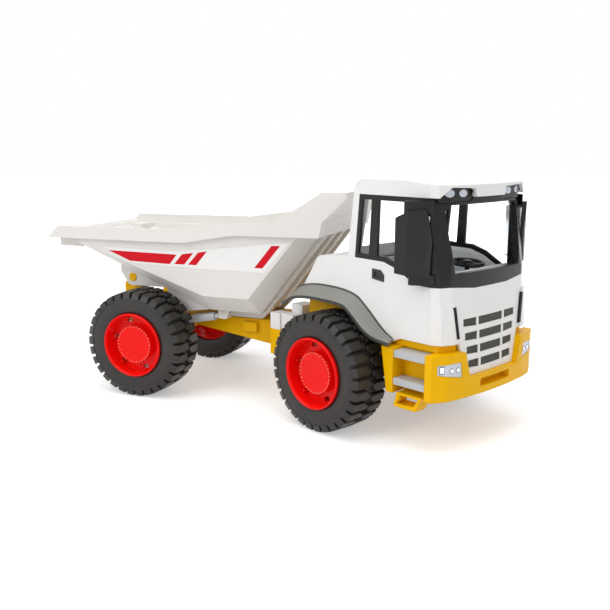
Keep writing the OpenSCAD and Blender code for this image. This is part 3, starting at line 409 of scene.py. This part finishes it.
def tyre_lug():
    """A stepped lug at the top of a wheel: a sloped end at the shoulder, a step at the middle."""
    def at(t, y, r):
        return (t, y, math.sqrt(r * r - t * t))

    def crown(y):
        return WHEEL_R - CROWN_DROP * (y / LUG_END) ** 2

    def eased_end(y):
        return y - LUG_END_EASE if y > LUG_MIDDLE else y + LUG_INNER_EASE

    def foot_of(t, y):
        return at(t, y + SHOULDER_SPREAD, SHOULDER_FOOT_R) if y > SHOULDER_FROM else at(t, y, FOOT_R)

    foot = [foot_of(t, y) for t, y in LUG_PLAN]
    edge = [at(t, y, crown(y) - CREST_EASE) for t, y in LUG_PLAN]
    top = [at(t * LUG_TAPER, eased_end(y), crown(y)) for t, y in LUG_PLAN]
    return layered([foot, edge, top])


def build_tyres():
    """A smooth carcass with two staggered rows of lugs on each wheel."""
    carcass = spun(TYRE_HALF + [(r, -y) for r, y in reversed(TYRE_HALF[:-1])], TYRE_STEPS)
    lug = tyre_lug()
    other = lug.copy()
    other.transform(Matrix.Rotation(math.pi, 4, "Z"))
    finish = FINISHES["tyre"]
    tread = joined(
        "tread",
        (ring_of(lug, LUGS, 0.0, finish), Matrix()),
        (ring_of(other, LUGS, STAGGER, finish), Matrix()),
    )
    for wheel, place in wheel_places():
        mesh = joined("tyre", (carcass, place), (tread, place))
        shade_by_angle(mesh, TYRE_CREASE)
        node = f"tyre_{wheel}"
        new_piece(node + "_lugged", mesh, body_of[node], "tyre", node)


# Beads of the hub caps

HUB_R = 18.25
HUB_SET_IN = 5.0
BEADS = 34
BEAD_R = 0.78
BEAD_INSET = 1.3
BEAD_SHIFT = 0.25
BEAD_CREASE = 60.0


def hub_beads():
    """Small round beads along the edge of each hub cap, in a paler red that is a painted highlight."""
    work = bmesh.new()
    bmesh.ops.create_uvsphere(work, u_segments=8, v_segments=5, radius=BEAD_R * MM)
    face, reach = RIM_FACE - HUB_SET_IN, HUB_R - BEAD_INSET
    bmesh.ops.translate(work, verts=work.verts, vec=(0, -face * MM, reach * MM))
    ring = ring_of(mesh_from(work, "bead"), BEADS, BEAD_SHIFT, BEAD_RED_HIGHLIGHT)
    for wheel, place in wheel_places():
        mesh = joined("beads", (ring, place))
        shade_by_angle(mesh, BEAD_CREASE)
        new_piece(f"hub_beads_{wheel}", mesh, f"wheel_{wheel}", "red_plastic", finish=BEAD_RED_HIGHLIGHT)


# Clips of the rims: half width, low and high reach from the axle, and how far out of the dish

CLIPS = 6
CLIP_TURN = math.radians(49)
DISH_DEPTH = 12
DISH = RIM_FACE - DISH_DEPTH
CLIP_LAYERS = ((1.8, 24.7, 26.6, -0.5), (1.7, 24.5, 26.5, 3.2), (1.2, 25.0, 26.2, 4.0))


def rim_clips():
    """A sloped hook at the outer end of each clip hole of a rim."""
    def layer(half, low, high, out):
        y = -DISH - out
        return [(-half, y, low), (half, y, low), (half, y, high), (-half, y, high)]

    nub = layered([layer(*sizes) for sizes in CLIP_LAYERS])
    nub.transform(Matrix.Rotation(math.pi / 2 - CLIP_TURN, 4, "Y"))
    clips = ring_of(nub, CLIPS, 0.0, FINISHES["red_plastic"])
    for wheel, place in wheel_places():
        new_piece(f"rim_clips_{wheel}", joined("clips", (clips, place)), f"wheel_{wheel}", "red_plastic")


# Fenders, with the height of each line over its place along the front unit

def eased(line):
    """The line with each bend cut off at a quarter of its sides."""
    points = [Vector(p) for p in line]
    result = [points[0]]
    for a, b in zip(points, points[1:]):
        result += [a.lerp(b, 0.25), a.lerp(b, 0.75)]
    return result + [points[-1]]


def bent(line):
    return eased(eased(eased(line)))


FENDER_ROOT = bent([(-58, 101), (-42, 116), (14, 116), (30, 104), (47, 88.5), (58, 82.6)])
FENDER_EDGE = bent([(-56, 96.5), (-40, 107), (12, 107), (20, 103), (41, 84.5), (64, 82.0)])
FENDER_T = 2.2
FENDER_CREASE = 30.0
ROOT_Y, EDGE_Y = 60.0, 73.0
LIP_BELOW, LIP_ABOVE = 0.2, 0.1
LIP_OUT, LIP_IN = 0.25, 0.5
SEAM_SHARE = 0.1
SEAM_IN, SEAM_OUT = 0.05, 1.3
SEAM_BELOW, SEAM_ABOVE = 0.3, 0.35
# A black plate of painted shade under each fender, where the wheel arch lies in shadow: its outline as
# (forward, height) and its two depths beside the housing
ARCH_SHADE = [(-47, 103), (18, 103), (26, 106), (12, 114.5), (-40, 114.5)]
ARCH_SHADE_Y = (50.4, 51.4)


def fender_sections():
    """The sections along a fender: of its wall, of its outer lip, dark with painted shade, and of the thin
    dark lip beside the cab.
    """
    wall, outer, inner = [], [], []
    last = len(FENDER_EDGE) - 1
    for i, (root, edge) in enumerate(zip(FENDER_ROOT, FENDER_EDGE)):
        along = (FENDER_EDGE[min(i + 1, last)] - FENDER_EDGE[max(i - 1, 0)]).normalized()
        up = Vector((-along.y, along.x))
        thick = FENDER_T * up
        wall.append([
            (root.x, ROOT_Y, root.y), (edge.x, EDGE_Y, edge.y),
            (edge.x + thick.x, EDGE_Y, edge.y + thick.y), (root.x + thick.x, ROOT_Y, root.y + thick.y),
        ])
        low, high = edge - LIP_BELOW * up, edge + (FENDER_T + LIP_ABOVE) * up
        outer.append([
            (low.x, EDGE_Y + LIP_OUT, low.y), (high.x, EDGE_Y + LIP_OUT, high.y),
            (high.x, EDGE_Y - LIP_IN, high.y), (low.x, EDGE_Y - LIP_IN, low.y),
        ])
        top = root + thick
        out = top + SEAM_SHARE * (edge - root)
        inner.append([
            (top.x, ROOT_Y + SEAM_IN, top.y - SEAM_BELOW), (out.x, ROOT_Y + SEAM_OUT, out.y - SEAM_BELOW),
            (out.x, ROOT_Y + SEAM_OUT, out.y + SEAM_ABOVE), (top.x, ROOT_Y + SEAM_IN, top.y + SEAM_ABOVE),
        ])
    return wall, outer, inner


def swept(name, sections, sign):
    """A smooth mesh through sections on one side of the front unit."""
    mesh = on_side(sign, sections)
    shade_by_angle(mesh, FENDER_CREASE)
    return joined(name, (mesh, FRONT))


def fenders():
    """Smooth fenders, each with a lip of painted shade along its outer edge and a thin dark one beside the
    cab.
    """
    wall, outer, inner = fender_sections()
    for side, sign in SIDES:
        node = f"fender_{side}"
        new_piece(node + "_smooth", swept("fender", wall, sign), "front", "grey_plastic", node)
        for name, sections in (("outer", outer), ("inner", inner)):
            mesh = swept("lip", sections, sign)
            new_piece(f"fender_lip_shade_{name}_{side}", mesh, "front", "grey_plastic", finish=FENDER_LIP_SHADE)


def arch_shade_plates():
    """A dark plate of painted shade beside the housing, under each fender."""
    for side, sign in SIDES:
        mesh = on_side(sign, [[(x, y, z) for x, z in ARCH_SHADE] for y in ARCH_SHADE_Y])
        new_piece(f"arch_shade_plate_{side}", joined("shade_plate", (mesh, FRONT)), "front", "black_plastic")


# Inserts of the grille and the vents, a little smaller than their slots

FRONT_MID = 110
PANEL_LOW = 59
FRONT_LEAN = math.tan(math.radians(2.6))
BOW_R = 440
GRILLE_ROWS = 4
SLOT_TOP, SLOT_PITCH, SLOT_H = 104, 11, 6.6
MID_HALF, BAR_W, SIDE_SLOT_W = 16.5, 2.6, 16
SLOT_FIT = 0.05
SLOT_SLANT = 0.8
PLATE_BACK, GRILLE_AHEAD, VENT_AHEAD = -2.3, -0.8, 1.6
VENT_FOOT, VENT_HEAD = (43, 90.1), (47, 114.9)
VENT_HALF = 1.9


def front_face(y, z):
    """How far forward the bowed and leaning front lies."""
    return FRONT_MID - (z - PANEL_LOW) * FRONT_LEAN - y * y / (2 * BOW_R)


def front_plate(outline, ahead):
    """A plate that follows the front, up to a depth ahead of it."""
    return layered([[(front_face(y, z) + depth, y, z) for y, z in outline] for depth in (PLATE_BACK, ahead)])


def grille_inserts():
    """Dark plates in the grille's slots, and black ones in the slanted vents."""
    plates = []
    for row in range(GRILLE_ROWS):
        top = SLOT_TOP - SLOT_PITCH * row - SLOT_FIT
        low = top - SLOT_H + 2 * SLOT_FIT
        half = MID_HALF - row
        near = half + BAR_W + SLOT_FIT
        far = half + BAR_W + SIDE_SLOT_W - row - SLOT_FIT
        half -= SLOT_FIT
        middle = [(-half, low), (0, low), (half, low), (half, top), (0, top), (-half, top)]
        plates.append(front_plate(middle, GRILLE_AHEAD))
        for _, sign in SIDES:
            outline = [(near, low), (far, low + SLOT_SLANT), (far, top), (near, top)]
            plates.append(front_plate([(sign * y, z) for y, z in outline], GRILLE_AHEAD))
    mesh = joined("plates", *[(part, FRONT) for part in plates])
    new_piece("grille_plates", mesh, "front", "black_plastic", finish=GRILLE_DARK)

    (foot, low), (head, top) = VENT_FOOT, VENT_HEAD
    outline = [
        (foot - VENT_HALF, low), (foot + VENT_HALF, low),
        (head + VENT_HALF, top), (head - VENT_HALF, top),
    ]
    vents = [front_plate([(sign * y, z) for y, z in outline], VENT_AHEAD) for _, sign in SIDES]
    mesh = joined("vents", *[(part, FRONT) for part in vents])
    new_piece("vent_plates", mesh, "front", "black_plastic", finish=VENT_DARK)


# Foils on the bed, with outlines as (forward of the rear axle, height)

PANEL_Y = 67.5
SHEET = [
    (-46, 137.6), (36, 136.9), (60, 139.6), (100, 144.2), (125, 147.6), (148.6, 150.2), (124.5, 121.5),
    (60, 121.5), (28, 122.2), (-15.5, 123.4),
]
STRIPES = (
    [(-38.5, 134.3), (36, 133.7), (28.4, 124.5), (-14.6, 125.3)],
    [(41.5, 134.3), (53.6, 136.3), (43.8, 125), (33.2, 124.8)],
    [(58.3, 136.7), (67.7, 138.5), (56.2, 125), (47.8, 125.1)],
    [(131.6, 146.4), (139.9, 146.8), (122.8, 126), (114.7, 125.8)],
)
SHEET_DEPTHS = (-0.05, 0.1)
STRIPE_DEPTHS = (0.0, 0.18)


def foil(outline, depths, sign):
    """A thin foil between two depths over the bed's side panel."""
    return on_side(sign, [[(x, PANEL_Y + depth, z) for x, z in outline] for depth in depths])


def side_foils():
    """Thin foils on both sides of the bed: red stripes on a white sheet."""
    for side, sign in SIDES:
        sheet = joined("sheet", (foil(SHEET, SHEET_DEPTHS, sign), REAR))
        new_piece(f"stripe_sheet_{side}", sheet, "bed", "bed_white", finish=SHEET_WHITE)
        stripes = joined("stripes", *[(foil(outline, STRIPE_DEPTHS, sign), REAR) for outline in STRIPES])
        new_piece(f"side_stripes_{side}", stripes, "bed", "bed_white", finish=STRIPE_RED)


# Headlamps, on the two facets of each lamp pod, with layers as (height over the foil, scale)

POD_FRONT = Vector((112.4, 43, 0))
POD_CORNER = Vector((110, 57, 0))
POD_SIDE = Vector((104, 69, 0))
FOIL_SET_IN = 0.5
LENS_R = 1.8
LENS_POINTS = 20
ROUND_LENS = [
    (LENS_R * math.cos(2 * math.pi * k / LENS_POINTS), LENS_R * math.sin(2 * math.pi * k / LENS_POINTS))
    for k in range(LENS_POINTS)
]
SQUARE_LENS = [(-1.9, -2.6), (1.9, -2.6), (1.9, 2.6), (-1.9, 2.6)]
SEAT_LAYERS = ((-0.1, 1.16), (0.12, 1.16))
LENS_LAYERS = ((0.0, 1.0), (0.5, 0.9), (0.62, 0.6))
LENS_CREASE = 40.0
LAMPS = (
    ("inner", POD_CORNER, POD_FRONT, 10.6, 67.4, ROUND_LENS),
    ("outer", POD_CORNER, POD_FRONT, 4.2, 67.6, ROUND_LENS),
    ("square", POD_SIDE, POD_CORNER, 8.4, 69.0, SQUARE_LENS),
)


def lamp_solid(start, end, along, height, outline, layers, sign):
    """A small solid on a facet that runs from start to end, at a distance along it and a height."""
    facet = (end - start).normalized()
    out = Vector((-facet.y, facet.x, 0))
    middle = start + facet * along - out * FOIL_SET_IN
    return on_side(sign, [
        [middle + facet * (a * scale) + Vector((0, 0, height + b * scale)) + out * depth for a, b in outline]
        for depth, scale in layers
    ])


def lamp_reflectors():
    """Two round reflectors and a square one on each headlamp foil, each in a dark seat."""
    for side, sign in SIDES:
        for name, *facet, outline in LAMPS:
            seat = joined("seat", (lamp_solid(*facet, outline, SEAT_LAYERS, sign), FRONT))
            new_piece(f"lamp_seat_{name}_{side}", seat, "front", "lamp_foil", finish=LAMP_LINE)
            lens = lamp_solid(*facet, outline, LENS_LAYERS, sign)
            shade_by_angle(lens, LENS_CREASE)
            lens = joined("lens", (lens, FRONT))
            new_piece(f"lamp_lens_{name}_{side}", lens, "front", "lamp_foil", finish=CHROME)


# Floor and light, in metres

WHITE = (1, 1, 1, 1)
SKY_TOP = 0.75
SKY_LOW, SKY_HIGH = 0.16, 0.84
FLOOR_R = 6.0
FLOOR_STEPS = 96
FLOOR_COLOUR = (0.82, 0.82, 0.82, 1)
FLOOR_ROUGH = 0.7
FLOOR_GLEAM = 0.15
GLOW_FROM, GLOW_TO = 0.26, 0.9
GLOW_NEAR = 0.39
LIGHT_AIM = Vector((0.0, 0.0, 0.1))
LIGHTS = (
    ("overhead", (-0.1, -0.2, 1.6), 1.6, 10.5),
    ("front_key", (1.3, -1.1, 1.0), 1.0, 3.8),
    ("side_fill", (-0.9, -1.5, 1.0), 1.2, 10.0),
)


def background_rays(nodes, links):
    """One for the rays that show the white background: those of the camera, of gloss and of glass."""
    ray = nodes.new("ShaderNodeLightPath")
    result = ray.outputs["Is Camera Ray"]
    for kind in ("Is Glossy Ray", "Is Transmission Ray"):
        either = nodes.new("ShaderNodeMath")
        either.operation = "MAXIMUM"
        links.new(result, either.inputs[0])
        links.new(ray.outputs[kind], either.inputs[1])
        result = either.outputs[0]
    return result


def studio_sky():
    """A soft sky that is brighter overhead, and a white background."""
    world = bpy.data.worlds.new("studio")
    bpy.context.scene.world = world
    world.use_nodes = True
    nodes, links = links_of(world)
    place = nodes.new("ShaderNodeTexCoord")
    parts = nodes.new("ShaderNodeSeparateXYZ")
    links.new(place.outputs["Generated"], parts.inputs["Vector"])
    sky = ranged(nodes, links, parts.outputs["Z"], From_Max=SKY_TOP, To_Min=SKY_LOW, To_Max=SKY_HIGH)
    level = add_node(nodes, "ShaderNodeMapRange", To_Max=1.0)
    links.new(background_rays(nodes, links), level.inputs["Value"])
    links.new(sky, level.inputs["To Min"])
    backdrop = nodes["Background"]
    backdrop.inputs["Color"].default_value = WHITE
    links.new(level.outputs["Result"], backdrop.inputs["Strength"])


def paper_floor():
    """A pale floor that keeps the shadow near the toy and fades to white further out."""
    work = bmesh.new()
    bmesh.ops.create_circle(work, cap_ends=True, segments=FLOOR_STEPS, radius=FLOOR_R)
    mesh = mesh_from(work, "floor")
    floor = bpy.data.objects.new("floor", mesh)
    bpy.context.scene.collection.objects.link(floor)
    paper = bpy.data.materials.new("pale_paper")
    paper.use_nodes = True
    nodes, links = links_of(paper)
    shader = nodes["Principled BSDF"]
    shader.inputs["Base Color"].default_value = FLOOR_COLOUR
    shader.inputs["Roughness"].default_value = FLOOR_ROUGH
    shader.inputs["Specular IOR Level"].default_value = FLOOR_GLEAM
    shader.inputs["Emission Color"].default_value = WHITE
    place = nodes.new("ShaderNodeTexCoord")
    reach = nodes.new("ShaderNodeVectorMath")
    reach.operation = "LENGTH"
    links.new(place.outputs["Object"], reach.inputs[0])
    fade = ranged(nodes, links, reach.outputs["Value"],
                  From_Min=GLOW_FROM, From_Max=GLOW_TO, To_Min=GLOW_NEAR)
    glow = nodes.new("ShaderNodeMath")
    glow.operation = "MULTIPLY"
    links.new(background_rays(nodes, links), glow.inputs[0])
    links.new(fade, glow.inputs[1])
    links.new(glow.outputs[0], shader.inputs["Emission Strength"])
    mesh.materials.append(paper)


def studio_lights():
    for name, place, size, power in LIGHTS:
        lamp = bpy.data.lights.new(name, "AREA")
        lamp.shape = "DISK"
        lamp.size = size
        lamp.energy = power
        holder = bpy.data.objects.new(name, lamp)
        bpy.context.scene.collection.objects.link(holder)
        aim = (LIGHT_AIM - Vector(place)).to_track_quat("-Z", "Y")
        holder.matrix_world = Matrix.Translation(place) @ aim.to_matrix().to_4x4()


# Camera, fitted to the photograph

LENS_PX = 806.29
FRAME_PX = 610
MIDDLE_PX = (309.91, 303.53)
SENSOR = 36
AZIMUTH, PITCH, ROLL = math.radians(21.04), 0.199211, 0.00279
STAND = Vector((264.0, -712.4, 237.1)) * MM
NEAREST = 10 * MM


def photo_camera():
    right = Vector((math.cos(AZIMUTH), math.sin(AZIMUTH), 0))
    ahead = Vector((-math.sin(AZIMUTH), math.cos(AZIMUTH), 0))
    look = ahead * math.cos(PITCH) - Vector((0, 0, math.sin(PITCH)))
    up = ahead * math.sin(PITCH) + Vector((0, 0, math.cos(PITCH)))
    right, up = (
        right * math.cos(ROLL) + up * math.sin(ROLL),
        up * math.cos(ROLL) - right * math.sin(ROLL),
    )
    camera = bpy.data.cameras.new("photo_camera")
    camera.sensor_width = SENSOR
    camera.lens = SENSOR * LENS_PX / FRAME_PX
    camera.shift_x = -(MIDDLE_PX[0] - FRAME_PX / 2) / FRAME_PX
    camera.shift_y = (MIDDLE_PX[1] - FRAME_PX / 2) / FRAME_PX
    camera.clip_start = NEAREST
    holder = bpy.data.objects.new("photo_camera", camera)
    bpy.context.scene.collection.objects.link(holder)
    turned = Matrix((right, up, -look)).transposed().to_4x4()
    holder.matrix_world = Matrix.Translation(STAND) @ turned
    bpy.context.scene.camera = holder


# The scene

bpy.context.scene.view_settings.view_transform = "Standard"
studio_sky()
paper_floor()
studio_lights()
photo_camera()
for node, radius in SOFT_EDGES.items():
    softened(node, radius)
build_tyres()
hub_beads()
rim_clips()
fenders()
arch_shade_plates()
grille_inserts()
side_foils()
lamp_reflectors()
